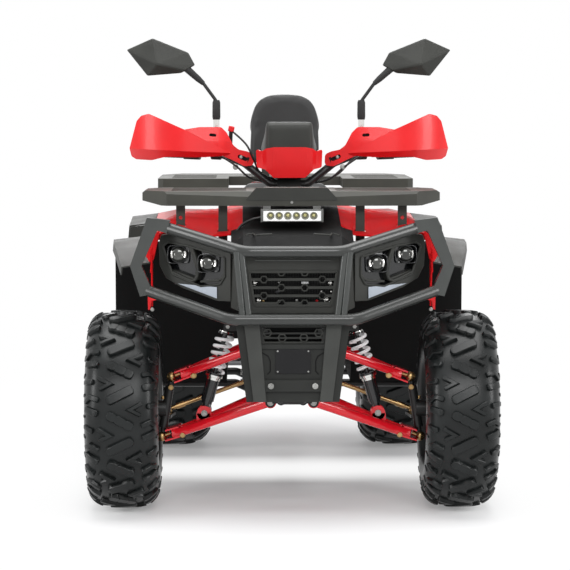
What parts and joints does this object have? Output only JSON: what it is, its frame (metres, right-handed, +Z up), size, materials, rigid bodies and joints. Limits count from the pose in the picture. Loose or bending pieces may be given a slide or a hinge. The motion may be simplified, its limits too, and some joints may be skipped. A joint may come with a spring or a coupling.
{
  "type": "quad bike",
  "caption": "Four-wheeled utility quad bike with steered front wheels, front and rear load racks, tubular front bumper, straddle seat with backrest, handguards and mirrors.",
  "frame": {"origin": "on the ground, under the middle of the bounding box", "axes": "+Z up, the front of the vehicle faces -Y, +X is the rider's left"},
  "size_m": [1.092, 1.82, 1.2693],
  "materials": {
    "red_plastic": "gloss",
    "black_plastic": "fine grained",
    "frame_paint": "satin black",
    "bumper_paint": "satin dark grey",
    "arm_paint": "gloss red",
    "engine_alloy": "cast",
    "gold_zinc": "yellow zinc plated",
    "damper_steel": "gloss black",
    "spring_paint": "white",
    "drive_steel": "plain steel",
    "rim_paint": "satin black",
    "tyre": "black",
    "grip_rubber": "moulded",
    "upholstery": "vinyl cover",
    "lamp_glass": "dark housing behind clear lens",
    "pale_lens": "pale translucent",
    "red_lens": "translucent red",
    "lamp_alloy": "bright"
  },
  "bodies": {
    "chassis": {"upper_frame": "frame_paint", "lower_frame": "frame_paint", "front_frame": "frame_paint", "engine": "engine_alloy", "exhaust": "frame_paint", "front_arms": "arm_paint", "ball_joints": "gold_zinc", "dampers": "damper_steel", "springs": "spring_paint", "swingarm": "frame_paint", "chain": "drive_steel", "bumper_top_bar": "bumper_paint", "bumper_low_bar": "bumper_paint", "bumper_uprights": "bumper_paint", "nose_guard": "black_plastic", "nose_cover": "black_plastic", "grille": "black_plastic", "lamp_bezels": "black_plastic", "headlamps": "lamp_glass", "running_lights": "pale_lens", "front_cowl": "red_plastic", "front_flares": "black_plastic", "footwell_left": "black_plastic", "footwell_right": "black_plastic", "tank_cover": "black_plastic", "side_covers": "red_plastic", "seat": "upholstery", "rear_cowl": "red_plastic", "rear_flares": "black_plastic", "tail_panel": "black_plastic", "tail_lights": "red_lens", "front_rack": "black_plastic", "rear_rack": "black_plastic", "light_bar": "lamp_alloy", "backrest": "upholstery"},
    "steering": {"steering_column": "frame_paint", "handlebar": "frame_paint", "grips": "grip_rubber", "bar_controls": "black_plastic", "mirrors": "black_plastic", "handguards": "red_plastic", "instrument_cowl": "red_plastic", "instrument_pod": "black_plastic"},
    "knuckle_left": {"knuckle_left": "frame_paint"},
    "knuckle_right": {"knuckle_right": "frame_paint"},
    "tie_rod_left": {"tie_rod_left": "gold_zinc"},
    "tie_rod_right": {"tie_rod_right": "gold_zinc"},
    "front_wheel_left": {"front_tyre_left": "tyre", "front_rim_left": "rim_paint"},
    "front_wheel_right": {"front_tyre_right": "tyre", "front_rim_right": "rim_paint"},
    "rear_wheels": {"rear_axle": "drive_steel", "rear_tyres": "tyre", "rear_rims": "rim_paint"}
  },
  "joints": [
    {"name": "steering_turn", "type": "hinge", "parent": "chassis", "child": "steering", "pos_m": [0, -0.27, 0.86], "axis": [0, 0.5, 0.866], "range_deg": [-32, 32]},
    {"name": "knuckle_left_turn", "type": "hinge", "parent": "chassis", "child": "knuckle_left", "pos_m": [0.3485, -0.59, 0.191], "axis": [-0.1614, 0, 0.9869], "range_deg": [-27.4, 27.4]},
    {"name": "knuckle_right_turn", "type": "hinge", "parent": "chassis", "child": "knuckle_right", "pos_m": [-0.3485, -0.59, 0.191], "axis": [0.1614, 0, 0.9869], "range_deg": [-27.4, 27.4]},
    {"name": "tie_rod_left_swing", "type": "hinge", "parent": "steering", "child": "tie_rod_left", "pos_m": [0.016, -0.4802, 0.3659], "axis": [-0.0502, 0.4639, 0.8845], "range_deg": [-34.15, 34.15]},
    {"name": "tie_rod_right_swing", "type": "hinge", "parent": "steering", "child": "tie_rod_right", "pos_m": [-0.016, -0.4802, 0.3659], "axis": [0.0502, 0.4639, 0.8845], "range_deg": [-34.15, 34.15]},
    {"name": "front_wheel_left_spin", "type": "hinge", "parent": "knuckle_left", "child": "front_wheel_left", "pos_m": [0.448, -0.59, 0.2665], "axis": [1, 0, 0], "continuous": true},
    {"name": "front_wheel_right_spin", "type": "hinge", "parent": "knuckle_right", "child": "front_wheel_right", "pos_m": [-0.448, -0.59, 0.2665], "axis": [1, 0, 0], "continuous": true},
    {"name": "rear_axle_spin", "type": "hinge", "parent": "chassis", "child": "rear_wheels", "pos_m": [0, 0.61, 0.2665], "axis": [1, 0, 0], "continuous": true}
  ],
  "couplings": [
    {"joint": "knuckle_left_turn", "follows": "steering_turn", "ratio": 0.855},
    {"joint": "knuckle_right_turn", "follows": "steering_turn", "ratio": 0.855},
    {"joint": "tie_rod_left_swing", "follows": "steering_turn", "ratio": -1.0655},
    {"joint": "tie_rod_right_swing", "follows": "steering_turn", "ratio": -1.0655}
  ]
}
